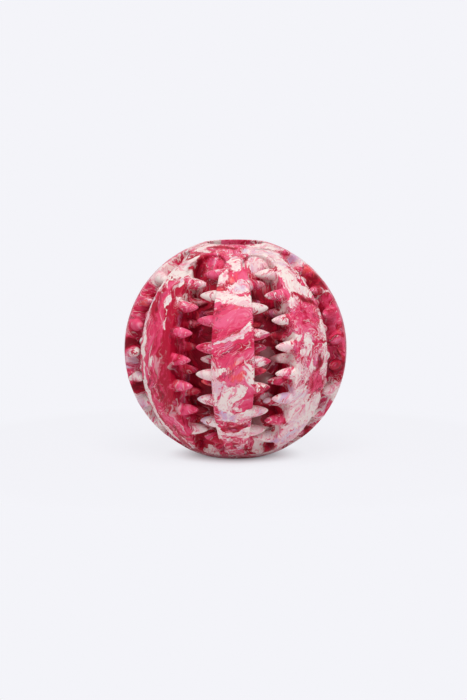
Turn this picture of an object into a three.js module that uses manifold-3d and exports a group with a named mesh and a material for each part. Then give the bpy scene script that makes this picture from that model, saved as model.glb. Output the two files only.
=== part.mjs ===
// A scented dog ball: a hollow ball of moulded natural rubber with eight toothed ribs.
// Millimetres, +Z up. The ball stands on the flat land round its lower mouth, which lies at Z = 0,
// and the middle of the first rib faces -Y.

import * as THREE from 'three';
import { mergeVertices } from 'three/addons/utils/BufferGeometryUtils.js';
import Module from 'manifold-3d';

// Driving dimensions, in millimetres and degrees

const BALL_RADIUS = 35;
const MOUTH_RADIUS = 9; // the round opening at each pole
const LAND_WIDTH = 0.8; // the flat ring round each mouth, which the ball stands on

const RIB_COUNT = 8;
const RIB_ANGLE = 22; // how far one rib reaches round the ball

const GROOVE_DEPTH = 10.5; // at the equator, under the ball's outer surface
const FLOOR_WALL = 3.5; // rubber between a groove's floor and the hollow, at the equator
const COLLAR_WIDTH = 6.5; // along the surface, from a land's edge to the end of a groove
const COLLAR_BORDER = 0.45; // rubber between a groove's end and the seam of the polar collar
const GROOVE_END_RADIUS = 5.1; // the round pocket that each groove ends in
const GROOVE_END_DEPTH = 1; // how far a groove's end wall drops from the surface to the floor

const TOOTH_PITCH = 8.85; // between two teeth of a row, along the ball's outer surface
const TOOTH_ROOT = 2; // how far a tooth starts inside its rib
const FLOOR_CLEARANCE = 0.3; // between a tooth and the floor of its groove

const OUTER_TOOTH = {
  rootRadius: 1.9, // half the tooth's thickness at the rib
  length: 5.6, // from the rib's side to the tip
  depth: 2.4, // from the ball's outer surface down to the tooth's axis
  endMargin: 7, // along the outer surface from the groove's end to where teeth may start
  sides: 6,
  rings: [0, 0.5, 0.85], // shares of the tooth's length, and its tip closes it
};
const INNER_TOOTH = {
  rootRadius: 1.6,
  length: 5.1,
  depth: 7,
  endMargin: 15.5,
  sides: 5,
  rings: [0, 0.6],
};
const TOOTH_BELLY = 1.5; // a higher number keeps the tooth thick for longer
const TOOTH_BLUNTNESS = 1.3; // a higher number rounds the tip more

// Fineness of the round forms

const TURNED_SEGMENTS = RIB_COUNT * 6; // an even number in each sector
const OUTER_ARC_STEP = 9; // degrees of latitude
const INNER_ARC_STEP = 15;
const FLOOR_ARC_STEPS = 12;
const POCKET_SEGMENTS = 20;

// Sizes that follow from the driving dimensions

const DEGREE = Math.PI / 180;
const SECTOR_ANGLE = 360 / RIB_COUNT;
const GROOVE_ANGLE = SECTOR_ANGLE - RIB_ANGLE;
const FLOOR_RADIUS = BALL_RADIUS - GROOVE_DEPTH;
const HOLLOW_RADIUS = FLOOR_RADIUS - FLOOR_WALL;
const LAND_RADIUS = MOUTH_RADIUS + LAND_WIDTH;
const LAND_HEIGHT = heightOnSphere(BALL_RADIUS, LAND_RADIUS);
const LAND_LATITUDE = Math.acos(LAND_RADIUS / BALL_RADIUS) / DEGREE;
const GROOVE_END_LATITUDE = LAND_LATITUDE - COLLAR_WIDTH / BALL_RADIUS / DEGREE;
const POCKET_LATITUDE = GROOVE_END_LATITUDE - Math.asin(GROOVE_END_RADIUS / BALL_RADIUS) / DEGREE;
const COLLAR_RADIUS = BALL_RADIUS * Math.cos(GROOVE_END_LATITUDE * DEGREE) - COLLAR_BORDER;
const REACH = BALL_RADIUS * 2; // long enough for a cutter to run past the ball

// Finishes

const RIB_RUBBER = { color: 0xc84469, roughness: 0.62, metalness: 0 };
const GROOVE_RUBBER = { color: 0x9c1f40, roughness: 0.68, metalness: 0 };
const COLLAR_RUBBER = { color: 0xd87f9b, roughness: 0.62, metalness: 0 };

const wasm = await Module();
wasm.setup();

/** Height of a sphere's surface over its equator, at a distance from its axis. */
function heightOnSphere(sphereRadius, fromAxis) {
  return Math.sqrt(sphereRadius ** 2 - fromAxis ** 2);
}

/** Points on an arc in a turned profile, both ends included; angles are in degrees from +X. */
function arc(radius, startAngle, endAngle, steps, centreX = 0) {
  return Array.from({ length: steps + 1 }, (_, i) => {
    const angle = (startAngle + ((endAngle - startAngle) * i) / steps) * DEGREE;
    return new THREE.Vector2(centreX + radius * Math.cos(angle), radius * Math.sin(angle));
  });
}

/** Points on a sphere's profile from one latitude across the equator to its mirror image. */
function equatorialArc(sphereRadius, startLatitude, step) {
  return arc(sphereRadius, startLatitude, -startLatitude, 2 * Math.ceil(Math.abs(startLatitude) / step));
}

/** Points on a sphere's profile between two distances from the axis, above the equator. */
function polarArc(sphereRadius, fromAxisStart, fromAxisEnd, step) {
  const start = Math.acos(fromAxisStart / sphereRadius) / DEGREE;
  const end = Math.acos(fromAxisEnd / sphereRadius) / DEGREE;
  return arc(sphereRadius, start, end, Math.ceil(Math.abs(end - start) / step));
}

/** Turns a closed geometry into a solid that can be cut and joined. */
function toSolid(geometry) {
  geometry.deleteAttribute('normal');
  geometry.deleteAttribute('uv');
  const merged = mergeVertices(geometry);
  const corners = merged.index.array;
  const triangles = [];
  for (let i = 0; i < corners.length; i += 3) {
    const [a, b, c] = corners.slice(i, i + 3);
    if (a !== b && b !== c && c !== a) {
      triangles.push(a, b, c);
    }
  }
  const vertProperties = new Float32Array(merged.attributes.position.array);
  const triVerts = new Uint32Array(triangles);
  return new wasm.Manifold(new wasm.Mesh({ numProp: 3, vertProperties, triVerts }));
}

/** Turns a solid back into a geometry. */
function toGeometry(solid) {
  const { vertProperties, triVerts } = solid.getMesh();
  const geometry = new THREE.BufferGeometry();
  geometry.setAttribute('position', new THREE.BufferAttribute(vertProperties, 3));
  geometry.setIndex(new THREE.BufferAttribute(triVerts, 1));
  geometry.computeVertexNormals();
  return geometry;
}

/** A body turned round the Z axis; the profile runs up its outside and down its inside. */
function turned(profile, segments = TURNED_SEGMENTS) {
  return new THREE.LatheGeometry(profile, segments).rotateX(Math.PI / 2);
}

/** The wall between the hollow and the outer surface, all round, outside the polar collars. */
function wallSolid() {
  const outerEnd = Math.acos(COLLAR_RADIUS / BALL_RADIUS) / DEGREE;
  const innerEnd = Math.acos(COLLAR_RADIUS / HOLLOW_RADIUS) / DEGREE;
  const outside = equatorialArc(BALL_RADIUS, -outerEnd, OUTER_ARC_STEP);
  const inside = equatorialArc(HOLLOW_RADIUS, innerEnd, INNER_ARC_STEP);
  return toSolid(turned([...outside, ...inside, outside[0].clone()]));
}

/** The body that all groove floors lie on, grown by a margin. */
function floorSolid(margin = 0) {
  const endRadius = BALL_RADIUS - GROOVE_END_DEPTH;
  const endX = endRadius * Math.cos(GROOVE_END_LATITUDE * DEGREE);
  const centreX = (FLOOR_RADIUS ** 2 - endRadius ** 2) / (2 * (FLOOR_RADIUS - endX));
  const radius = FLOOR_RADIUS - centreX;
  const endAngle = Math.acos(-centreX / radius) / DEGREE;
  const profile = arc(radius + margin, -endAngle, endAngle, FLOOR_ARC_STEPS, centreX);
  const lowest = new THREE.Vector2(0, profile[0].y);
  const highest = new THREE.Vector2(0, profile[profile.length - 1].y);
  return toSolid(turned([lowest, ...profile, highest]));
}

/** A wedge with its edge on the axis, which opens towards -Y. */
function wedgeSolid(angle) {
  const halfWidth = REACH * Math.tan((angle / 2) * DEGREE);
  const outline = new THREE.Shape();
  outline.moveTo(0, 0);
  outline.lineTo(-halfWidth, -REACH);
  outline.lineTo(halfWidth, -REACH);
  outline.closePath();
  const prism = new THREE.ExtrudeGeometry(outline, { depth: REACH, bevelEnabled: false });
  return toSolid(prism.translate(0, 0, -REACH / 2));
}

/** The round pockets at both ends of the groove at an azimuth, measured from -Y. */
function pocketSolid(azimuth) {
  const ends = [-1, 1].map((side) => {
    const pocket = new THREE.CylinderGeometry(GROOVE_END_RADIUS, GROOVE_END_RADIUS, REACH, POCKET_SEGMENTS);
    pocket.translate(0, REACH / 2, 0);
    pocket.rotateX(Math.PI - side * POCKET_LATITUDE * DEGREE);
    pocket.rotateZ(azimuth * DEGREE);
    return toSolid(pocket);
  });
  return ends[0].add(ends[1]);
}

/** How thick a tooth still is at a share of its length, as a share of its root. */
function toothTaper(share) {
  return (1 - share ** TOOTH_BELLY) ** (1 / TOOTH_BLUNTNESS);
}

/** One tooth along +Y, with the side of the rib at its origin. */
function toothGeometry(tooth) {
  const profile = [
    new THREE.Vector2(0, -TOOTH_ROOT),
    new THREE.Vector2(tooth.rootRadius, -TOOTH_ROOT),
    ...tooth.rings.map((share) => new THREE.Vector2(tooth.rootRadius * toothTaper(share), tooth.length * share)),
    new THREE.Vector2(0, tooth.length),
  ];
  return new THREE.LatheGeometry(profile, tooth.sides);
}

/** A tooth on one side of the first rib, at a latitude; side is -1 or 1 along X. */
function placedTooth(tooth, side, latitude) {
  const radius = BALL_RADIUS - tooth.depth;
  const edge = side * (RIB_ANGLE / 2) * DEGREE;
  const fromAxis = radius * Math.cos(latitude * DEGREE);
  const geometry = toothGeometry(tooth);
  geometry.rotateZ((-side * Math.PI) / 2);
  geometry.rotateZ(side * (SECTOR_ANGLE / 2) * DEGREE);
  geometry.translate(fromAxis * Math.sin(edge), -fromAxis * Math.cos(edge), radius * Math.sin(latitude * DEGREE));
  return toSolid(geometry);
}

/** Latitudes of one row: it straddles the equator, or has a tooth on it. */
function rowLatitudes(tooth, straddles) {
  const reach = BALL_RADIUS * GROOVE_END_LATITUDE * DEGREE - tooth.endMargin;
  const latitudes = [];
  for (let place = straddles ? TOOTH_PITCH / 2 : 0; place <= reach; place += TOOTH_PITCH) {
    const latitude = place / BALL_RADIUS / DEGREE;
    latitudes.push(latitude);
    if (latitude > 0) {
      latitudes.push(-latitude);
    }
  }
  return latitudes;
}

/** All teeth of the first rib; facing rows are half a pitch apart, and so are rows of one side. */
function teethSolids() {
  const rows = [
    { tooth: OUTER_TOOTH, side: -1, straddles: true },
    { tooth: OUTER_TOOTH, side: 1, straddles: false },
    { tooth: INNER_TOOTH, side: -1, straddles: false },
    { tooth: INNER_TOOTH, side: 1, straddles: true },
  ];
  return rows.flatMap(({ tooth, side, straddles }) =>
    rowLatitudes(tooth, straddles).map((latitude) => placedTooth(tooth, side, latitude)),
  );
}

/** A rib: a bar of the wall with its grooves' round ends cut in, and its teeth. */
function ribSolid(wall, floor, clearFloor) {
  const pockets = pocketSolid(-SECTOR_ANGLE / 2).add(pocketSolid(SECTOR_ANGLE / 2)).subtract(floor);
  const bar = wall.intersect(wedgeSolid(RIB_ANGLE)).subtract(pockets);
  return teethSolids().reduce((rib, tooth) => rib.add(tooth.subtract(clearFloor)), bar);
}

/** The web between two ribs, with the groove cut into it. */
function grooveFloorSolid(wall, floor) {
  const pocketHeight = BALL_RADIUS * Math.sin(POCKET_LATITUDE * DEGREE);
  const run = new THREE.BoxGeometry(REACH, REACH, 2 * pocketHeight).translate(0, -REACH / 2, 0);
  const groove = toSolid(run).add(pocketSolid(0)).subtract(floor);
  return wall.intersect(wedgeSolid(GROOVE_ANGLE)).subtract(groove);
}

/** The upper polar collar, with its mouth into the hollow and its flat land. */
function collarSolid() {
  const outside = polarArc(BALL_RADIUS, COLLAR_RADIUS, LAND_RADIUS, OUTER_ARC_STEP);
  const inside = polarArc(HOLLOW_RADIUS, MOUTH_RADIUS, COLLAR_RADIUS, INNER_ARC_STEP);
  const mouthEdge = new THREE.Vector2(MOUTH_RADIUS, LAND_HEIGHT);
  return toSolid(turned([...outside, mouthEdge, ...inside, outside[0].clone()]));
}

/** A named piece of the ball, turned to its place. */
function piece(name, geometry, finish, rotation) {
  const mesh = new THREE.Mesh(geometry, new THREE.MeshStandardMaterial(finish));
  mesh.name = name;
  mesh.rotation.set(...rotation);
  return mesh;
}

/** Builds the ball. */
function buildBall() {
  const ball = new THREE.Group();
  const wall = wallSolid();
  const floor = floorSolid();
  const collar = toGeometry(collarSolid());
  const rib = toGeometry(ribSolid(wall, floor, floorSolid(FLOOR_CLEARANCE)));
  const grooveFloor = toGeometry(grooveFloorSolid(wall, floor));

  ball.add(piece('top_collar', collar, COLLAR_RUBBER, [0, 0, 0]));
  ball.add(piece('bottom_collar', collar, COLLAR_RUBBER, [Math.PI, 0, 0]));
  for (let i = 0; i < RIB_COUNT; i += 1) {
    const azimuth = i * SECTOR_ANGLE * DEGREE;
    const halfStep = (SECTOR_ANGLE / 2) * DEGREE;
    ball.add(piece(`rib_${i + 1}`, rib, RIB_RUBBER, [0, 0, azimuth]));
    ball.add(piece(`groove_floor_${i + 1}`, grooveFloor, GROOVE_RUBBER, [0, 0, azimuth + halfStep]));
  }
  ball.position.z = LAND_HEIGHT;
  return ball;
}

export default buildBall();
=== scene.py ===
"""The dressed scented dog ball: a hollow rubber ball with eight toothed ribs, marbled all through.

Shapes are worked out in millimetres round the ball's centre and stored in metres in the frame of
the solids, where the ball stands on Z = 0 and the middle of the first rib faces -Y.
"""

import logging
import math
from abc import ABC, abstractmethod
from collections.abc import Callable
from dataclasses import dataclass, field, replace
from enum import Enum

import bmesh
import bpy
import numpy as np
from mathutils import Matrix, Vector, noise


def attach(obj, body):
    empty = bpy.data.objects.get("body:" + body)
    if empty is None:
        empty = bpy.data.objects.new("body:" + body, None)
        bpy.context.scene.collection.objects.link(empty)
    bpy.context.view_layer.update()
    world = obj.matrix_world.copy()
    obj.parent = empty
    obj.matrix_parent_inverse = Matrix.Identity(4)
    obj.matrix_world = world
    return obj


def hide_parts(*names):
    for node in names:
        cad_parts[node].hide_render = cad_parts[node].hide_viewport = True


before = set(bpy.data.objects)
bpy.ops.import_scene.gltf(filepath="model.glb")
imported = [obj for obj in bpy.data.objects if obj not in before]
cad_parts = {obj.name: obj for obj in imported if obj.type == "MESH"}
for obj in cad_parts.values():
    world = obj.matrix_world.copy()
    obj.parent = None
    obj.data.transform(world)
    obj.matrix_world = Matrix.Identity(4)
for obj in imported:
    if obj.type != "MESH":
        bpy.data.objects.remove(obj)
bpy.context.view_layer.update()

LOG = logging.getLogger("dog_ball")
MM = 0.001
BODY = "root"

Array = np.ndarray
Solid = Callable[[Array], Array]
Socket = bpy.types.NodeSocket

NOISE_MIDDLE = 0.5  # noise values lie round it
TINY = 1e-12  # keeps a division from failing
HALFWAY = 0.5  # from one contour line to the next


# Sizes of the moulding


@dataclass(frozen=True)
class BallSizes:
    """The moulding's sizes, in millimetres and degrees, as its solids have them."""

    rib_count: int
    ball_radius: float = 35.0
    mouth_radius: float = 9.0
    land_width: float = 0.8
    rib_angle: float = 22.0
    groove_depth: float = 10.5
    floor_wall: float = 3.5
    collar_width: float = 6.5
    collar_border: float = 0.45
    groove_end_radius: float = 5.1
    groove_end_depth: float = 1.0
    edge_rounding: float = 0.6
    rim_rounding: float = 0.3
    pocket_rounding: float = 0.8

    @property
    def sector(self) -> float:
        """Angle from the middle of one rib to the middle of the next."""
        return 360.0 / self.rib_count

    @property
    def groove_angle(self) -> float:
        """The angle that a groove takes."""
        return self.sector - self.rib_angle

    @property
    def floor_radius(self) -> float:
        """Distance from the axis to a groove's floor at the equator."""
        return self.ball_radius - self.groove_depth

    @property
    def hollow_radius(self) -> float:
        """Radius of the hollow inside."""
        return self.floor_radius - self.floor_wall

    @property
    def land_radius(self) -> float:
        """Distance from the axis to the outer edge of the land."""
        return self.mouth_radius + self.land_width

    @property
    def land_height(self) -> float:
        """Height of the land over the ball's centre."""
        return math.sqrt(self.ball_radius**2 - self.land_radius**2)

    @property
    def groove_end_latitude(self) -> float:
        """Latitude where a groove ends, in degrees."""
        land = math.acos(self.land_radius / self.ball_radius)
        return math.degrees(land - self.collar_width / self.ball_radius)

    @property
    def pocket_latitude(self) -> float:
        """Latitude of the middle of a groove's round end, in degrees."""
        end = math.asin(self.groove_end_radius / self.ball_radius)
        return self.groove_end_latitude - math.degrees(end)

    @property
    def collar_radius(self) -> float:
        """Distance from the axis to the seam between a collar and the ribs."""
        end = self.ball_radius * math.cos(math.radians(self.groove_end_latitude))
        return end - self.collar_border

    @property
    def floor_arc(self) -> tuple[float, float]:
        """Centre on X and radius of the arc that a groove's floor follows in profile."""
        end_radius = self.ball_radius - self.groove_end_depth
        end_x = end_radius * math.cos(math.radians(self.groove_end_latitude))
        centre = (self.floor_radius**2 - end_radius**2) / (2 * (self.floor_radius - end_x))
        return centre, self.floor_radius - centre


@dataclass(frozen=True)
class ToothSizes:
    """The sizes of one kind of tooth, in millimetres."""

    root_radius: float
    length: float
    depth: float  # how far its middle lies under the ball's surface
    end_margin: float  # how far the row keeps off the groove's end
    tip_rounding: float = 0.45
    belly: float = 1.7
    bluntness: float = 1.25
    root: float = 2.0  # how far it goes on inside the rib
    fillet: float = 0.45
    pitch: float = 8.85


BALL = BallSizes(rib_count=sum(name.startswith("rib_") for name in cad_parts))
OUTER_TOOTH = ToothSizes(root_radius=1.9, length=5.6, depth=2.4, end_margin=7.0)
INNER_TOOTH = ToothSizes(root_radius=1.6, length=5.1, depth=7.0, end_margin=15.5)


# Solids as distances: negative inside, positive outside


def joined(a: Array, b: Array, radius: float = 0.0) -> Array:
    """Joins two solids with a round fillet between them.

    Args:
        a: Distances to the first solid.
        b: Distances to the second solid.
        radius: The fillet's radius.

    Returns:
        Distances to both together.
    """
    if radius <= 0:
        return np.minimum(a, b)
    corner = np.hypot(np.maximum(radius - a, 0), np.maximum(radius - b, 0))
    return np.maximum(radius, np.minimum(a, b)) - corner


def shared(a: Array, b: Array, radius: float = 0.0) -> Array:
    """Keeps what two solids share, with an edge of a radius where they meet."""
    return -joined(-a, -b, radius)


def from_axis(points: Array) -> Array:
    """Distances to the ball's axis."""
    return np.hypot(points[:, 0], points[:, 1])


def wedge(points: Array, angle: float) -> Array:
    """Distances to a wedge of so many degrees with its edge on the axis, which opens towards -Y."""
    half = math.radians(angle / 2)
    return np.abs(points[:, 0]) * math.cos(half) + points[:, 1] * math.sin(half)


def turned(azimuth: float, over: bool = False) -> Array:
    """A turn round the ball's axis, after tipping the piece over if asked.

    Args:
        azimuth: The turn in degrees, anticlockwise seen from above.
        over: True for a piece that is first turned upside down.

    Returns:
        A 3 by 3 matrix.
    """
    a = math.radians(azimuth)
    spin = np.array([[math.cos(a), -math.sin(a), 0], [math.sin(a), math.cos(a), 0], [0, 0, 1]])
    return spin @ np.diag([1, -1, -1]) if over else spin


@dataclass(frozen=True)
class Moulding:
    """The whole moulding without its teeth, with a groove's middle at an azimuth from -Y."""

    sizes: BallSizes
    groove_azimuth: float

    def shell(self, points: Array) -> Array:
        """Distances to the plain hollow ball with its two mouths and lands.

        Args:
            points: Places to measure from.

        Returns:
            The distances.
        """
        s = self.sizes
        radius = np.linalg.norm(points, axis=1)
        outside = shared(radius - s.ball_radius, np.abs(points[:, 2]) - s.land_height)
        walled = shared(outside, s.hollow_radius - radius)
        return shared(walled, s.mouth_radius - from_axis(points), s.rim_rounding)

    def groove(self, points: Array) -> Array:
        """Distances to the space of the nearest groove and its round ends, down to the axis.

        Args:
            points: Places to measure from.

        Returns:
            The distances.
        """
        s = self.sizes
        radius = from_axis(points)
        half = math.radians(s.sector / 2)
        azimuth = np.arctan2(points[:, 0], -points[:, 1]) - math.radians(self.groove_azimuth)
        azimuth = np.mod(azimuth + half, 2 * half) - half
        lateral = np.abs(radius * np.sin(azimuth))
        forward = radius * np.cos(azimuth)
        height = np.abs(points[:, 2])
        side = math.radians(s.groove_angle / 2)
        sides = lateral * math.cos(side) - forward * math.sin(side)
        latitude = math.radians(s.pocket_latitude)
        run = shared(sides, height - s.ball_radius * math.sin(latitude))
        across = forward * math.sin(latitude) - height * math.cos(latitude)
        pocket = np.hypot(lateral, across) - s.groove_end_radius
        return joined(run, pocket, s.pocket_rounding)

    def floor(self, points: Array) -> Array:
        """Distances to the body that all groove floors lie on."""
        centre, radius = self.sizes.floor_arc
        return np.hypot(from_axis(points) - centre, points[:, 2]) - radius

    def body(self, points: Array) -> Array:
        """Distances to the shell with its grooves cut down to their floors."""
        kept = joined(-self.groove(points), self.floor(points))
        return shared(self.shell(points), kept, self.sizes.edge_rounding)

    def slice(self, points: Array, angle: float) -> Array:
        """Distances to the body's part in a wedge of so many degrees that faces -Y."""
        return shared(self.body(points), wedge(points, angle))

    def between_collars(self, points: Array) -> Array:
        """Distances to the space outside both collars' seams."""
        return self.sizes.collar_radius - from_axis(points)


@dataclass(frozen=True)
class Tooth:
    """One tooth in its place on the first rib; side is -1 or 1 along X."""

    sizes: ToothSizes
    side: int
    latitude: float
    taper_steps: int = 11

    @property
    def root_point(self) -> Array:
        """The middle of the tooth's root, on the side of the rib."""
        radius = BALL.ball_radius - self.sizes.depth
        edge = self.side * math.radians(BALL.rib_angle / 2)
        level = radius * math.cos(math.radians(self.latitude))
        height = radius * math.sin(math.radians(self.latitude))
        return np.array([level * math.sin(edge), -level * math.cos(edge), height])

    @property
    def direction(self) -> Array:
        """The way that the tooth points, square to the middle of its groove."""
        turn = self.side * math.radians(BALL.sector / 2)
        return self.side * np.array([math.cos(turn), math.sin(turn), 0.0])

    @property
    def middle(self) -> Array:
        """The middle of the tooth with its root."""
        return self.root_point + self.direction * (self.sizes.length - self.sizes.root) / 2

    def profile(self) -> tuple[Array, Array]:
        """The tooth's outline, less the rounding of its tip.

        Returns:
            Places along the tooth, and its radius at each.
        """
        t = self.sizes
        share = np.linspace(0, 1, self.taper_steps)
        taper = (1 - share**t.belly) ** (1 / t.bluntness)
        along = np.concatenate([[-t.root], share * (t.length - t.tip_rounding)])
        core = t.root_radius - t.tip_rounding
        return along, np.concatenate([[core], core * taper])

    def distance(self, points: Array) -> Array:
        """Distances to the tooth.

        Args:
            points: Places to measure from.

        Returns:
            The distances.
        """
        offset = points - self.root_point
        along = offset @ self.direction
        radius = np.sqrt(np.maximum((offset**2).sum(1) - along**2, 0))
        place, core = self.profile()
        nearest = np.full(len(points), np.inf)
        for i in range(len(place) - 1):
            step = np.array([place[i + 1] - place[i], core[i + 1] - core[i]])
            share = ((along - place[i]) * step[0] + (radius - core[i]) * step[1]) / (step @ step)
            share = np.clip(share, 0, 1)
            gap = np.hypot(along - place[i] - share * step[0], radius - core[i] - share * step[1])
            nearest = np.minimum(nearest, gap)
        in_core = (radius < np.interp(along, place, core)) & (along > place[0]) & (along < place[-1])
        return np.where(in_core, -nearest, nearest) - self.sizes.tip_rounding


@dataclass(frozen=True)
class ToothRow:
    """One row of teeth down a side of a rib; a row that straddles has no tooth on the equator."""

    sizes: ToothSizes
    side: int
    straddles: bool

    def teeth(self) -> list[Tooth]:
        """Spaces the row's teeth on the first rib.

        Returns:
            The teeth, from the top down.
        """
        t = self.sizes
        reach = BALL.ball_radius * math.radians(BALL.groove_end_latitude) - t.end_margin
        start = 0.5 if self.straddles else 0.0
        count = int(reach / t.pitch - start) + 1
        places = {side * (start + i) * t.pitch for i in range(count) for side in (-1, 1)}
        latitudes = [math.degrees(place / BALL.ball_radius) for place in sorted(places, reverse=True)]
        return [Tooth(t, self.side, latitude) for latitude in latitudes]


# Facing rows are half a pitch apart, and so are the two rows of one side
OUTER_LEFT = ToothRow(OUTER_TOOTH, side=-1, straddles=True)
OUTER_RIGHT = ToothRow(OUTER_TOOTH, side=1, straddles=False)
INNER_LEFT = ToothRow(INNER_TOOTH, side=-1, straddles=False)
INNER_RIGHT = ToothRow(INNER_TOOTH, side=1, straddles=True)
TOOTH_ROWS = (OUTER_LEFT, OUTER_RIGHT, INNER_LEFT, INNER_RIGHT)


# Tones that lead the marbling, as the photograph shows it


class Tone(Enum):
    """Mixes of the marbled rubber, as how pale, how lilac, how coral and how dark they are; the last value
    is darker tone and painted shade together.
    """

    RASPBERRY = (-1.0, 0.0, 0.0, 0.0)
    ROSE = (-1.0, 0.0, 0.0, -0.5)
    WINE = (-1.0, 0.0, 0.0, 0.4)
    CRIMSON = (-1.0, 0.0, 0.0, 1.0)
    ROSY = (-0.3, 0.4, 0.0, 0.0)
    CORAL = (-0.9, 0.0, 1.0, 0.0)
    CREAM = (1.0, 0.0, 0.0, 0.0)
    SHELL = (0.8, 0.45, 0.0, 0.0)
    LILAC = (0.8, 1.0, 0.0, 0.0)
    POWDER = (1.4, 0.2, 0.0, 0.0)
    # Cream with painted shade, as cream looks down in a groove
    SHADED_CREAM = (1.2, 0.0, 0.0, 0.85)
    # Painted shade for the depths of the grooves, not a tone of the rubber
    PAINTED_GROOVE_SHADE = (-0.6, 0.0, 0.0, 1.6)


# The last channel is darker tone and painted shade together
TONE_NAMES = ("pale", "lilac", "coral", "deep_and_shade")


@dataclass(frozen=True)
class Blob:
    """A soft-edged ellipsoid of one tone; its axes are the rows of a matrix, its extents full lengths."""

    tone: Tone
    middle: Array
    axes: Array
    extents: tuple[float, float, float]
    core: float = 0.24  # how far from its middle it covers fully, as a share of the extents
    edge: float = 0.74  # how far from its middle the cover ends

    def cover(self, points: Array) -> Array:
        """How much of the blob there is.

        Args:
            points: Places in millimetres from the ball's centre.

        Returns:
            For each place, a share from 0 to 1.
        """
        share = np.linalg.norm((points - self.middle) @ self.axes.T / self.extents, axis=1)
        rise = np.clip((self.edge - share) / (self.edge - self.core), 0, 1)
        return rise * rise * (3 - 2 * rise)


@dataclass(frozen=True)
class Patch:
    """A patch of one tone beside an upright line of the ball, in millimetres and degrees."""

    tone: Tone
    up: float  # up the ball's surface from the equator
    right: float  # along the surface from the upright line
    length: float
    width: float
    tilt: float = 0.0  # how far its length rises to the right
    inward: float = 1.0  # how far its middle lies under the surface
    depth: float = 8.0  # its size from front to back

    def blob(self, azimuth: float) -> Blob:
        """Places the patch.

        Args:
            azimuth: The upright line's azimuth from -Y, in degrees.

        Returns:
            The patch's blob round the ball's centre.
        """
        latitude = self.up / BALL.ball_radius
        turn = math.radians(azimuth) + self.right / (BALL.ball_radius * math.cos(latitude))
        east = np.array([math.cos(turn), math.sin(turn), 0.0])
        front = np.array([math.sin(turn), -math.cos(turn), 0.0])
        out = front * math.cos(latitude) + np.array([0.0, 0.0, math.sin(latitude)])
        tilt = math.radians(self.tilt)
        along = east * math.cos(tilt) + np.cross(out, east) * math.sin(tilt)
        axes = np.stack([along, np.cross(out, along), out])
        middle = out * (BALL.ball_radius - self.inward)
        return Blob(self.tone, middle, axes, (self.length, self.width, self.depth))


# The patches were read in the photograph, in pixels or off a millimetre grid. A program turned
# the pixels into millimetres, and two thirds of the patches below agree with its output but for rounding.

# The rib that faces the camera, from its upper end down
FRONT_RIB = (
    Patch(Tone.RASPBERRY, up=4, right=0, length=58, width=12, tilt=90),
    Patch(Tone.CREAM, up=34, right=0.5, length=9, width=3.5, tilt=90),
    Patch(Tone.CREAM, up=27.5, right=-3.5, length=8, width=2.5, tilt=60),
    Patch(Tone.CORAL, up=28, right=0.5, length=7, width=4, tilt=35),
    Patch(Tone.SHELL, up=24.5, right=2.5, length=6, width=3.5, tilt=15),
    Patch(Tone.CORAL, up=23.5, right=-4, length=4, width=2),
    Patch(Tone.CREAM, up=20, right=0, length=14, width=3.5, tilt=-7),
    Patch(Tone.RASPBERRY, up=13, right=0, length=12, width=9, tilt=15),
    Patch(Tone.SHELL, up=7, right=-2.5, length=9, width=1.8, tilt=18),
    Patch(Tone.SHELL, up=10, right=4, length=8, width=2, tilt=55),
    Patch(Tone.ROSY, up=4, right=0, length=10, width=3.5, tilt=10),
    Patch(Tone.POWDER, up=-1, right=5.4, length=6.5, width=0.8, tilt=-66),
    Patch(Tone.POWDER, up=-3, right=5, length=6.5, width=0.8, tilt=-60),
    Patch(Tone.POWDER, up=-5, right=5, length=4.5, width=0.8, tilt=-45),
    Patch(Tone.CREAM, up=-2.8, right=-4.5, length=7.5, width=2.5, tilt=9),
    Patch(Tone.CORAL, up=-0.5, right=1, length=8, width=1.5, tilt=18),
    Patch(Tone.CORAL, up=-4.5, right=2, length=5.5, width=3, tilt=35),
    Patch(Tone.LILAC, up=-8, right=-4.6, length=5, width=6),
    Patch(Tone.CREAM, up=-10.5, right=0, length=10, width=5.5, tilt=40),
    Patch(Tone.CREAM, up=-14, right=-3.5, length=5.5, width=5.5),
    Patch(Tone.RASPBERRY, up=-11.5, right=4.7, length=8.5, width=4, tilt=80),
    Patch(Tone.CREAM, up=-16.5, right=4.5, length=5, width=3.5, tilt=15),
    Patch(Tone.LILAC, up=-18, right=-2, length=8, width=3.5, tilt=-30),
    Patch(Tone.CRIMSON, up=-22.3, right=1, length=10, width=2.4, tilt=14),
    Patch(Tone.POWDER, up=-24.7, right=1, length=9.5, width=1.2, tilt=12),
    Patch(Tone.CREAM, up=-25, right=-4.8, length=8, width=2.5, tilt=-80),
    Patch(Tone.ROSY, up=-30, right=0.5, length=7, width=9),
)

# The rib on its left, which has a white left edge
LEFT_RIB = (
    Patch(Tone.RASPBERRY, up=0, right=2.5, length=68, width=12.5, tilt=91, depth=24),
    Patch(Tone.POWDER, up=23, right=-5.2, length=10, width=2, tilt=97),
    Patch(Tone.POWDER, up=14, right=-5.8, length=11, width=2.5, tilt=94),
    Patch(Tone.POWDER, up=4, right=-4.8, length=13, width=2, tilt=90),
    Patch(Tone.POWDER, up=-7, right=-5, length=13, width=3, tilt=-96),
    Patch(Tone.POWDER, up=-17, right=-4.5, length=11, width=2.5, tilt=-90),
    Patch(Tone.CREAM, up=-26, right=-3.8, length=10, width=3, tilt=-90),
    Patch(Tone.SHELL, up=18, right=1.8, length=5, width=2, tilt=100),
    Patch(Tone.SHELL, up=-1.5, right=-1.2, length=8, width=2.4, tilt=80),
    Patch(Tone.SHELL, up=25, right=3.4, length=12, width=1, tilt=98),
    Patch(Tone.POWDER, up=12, right=3.4, length=9, width=0.8, tilt=95),
    Patch(Tone.CREAM, up=33.5, right=-0.8, length=5.5, width=1.5, tilt=90),
    Patch(Tone.ROSY, up=-11, right=-1, length=9, width=3.5, tilt=-82),
)

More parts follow.
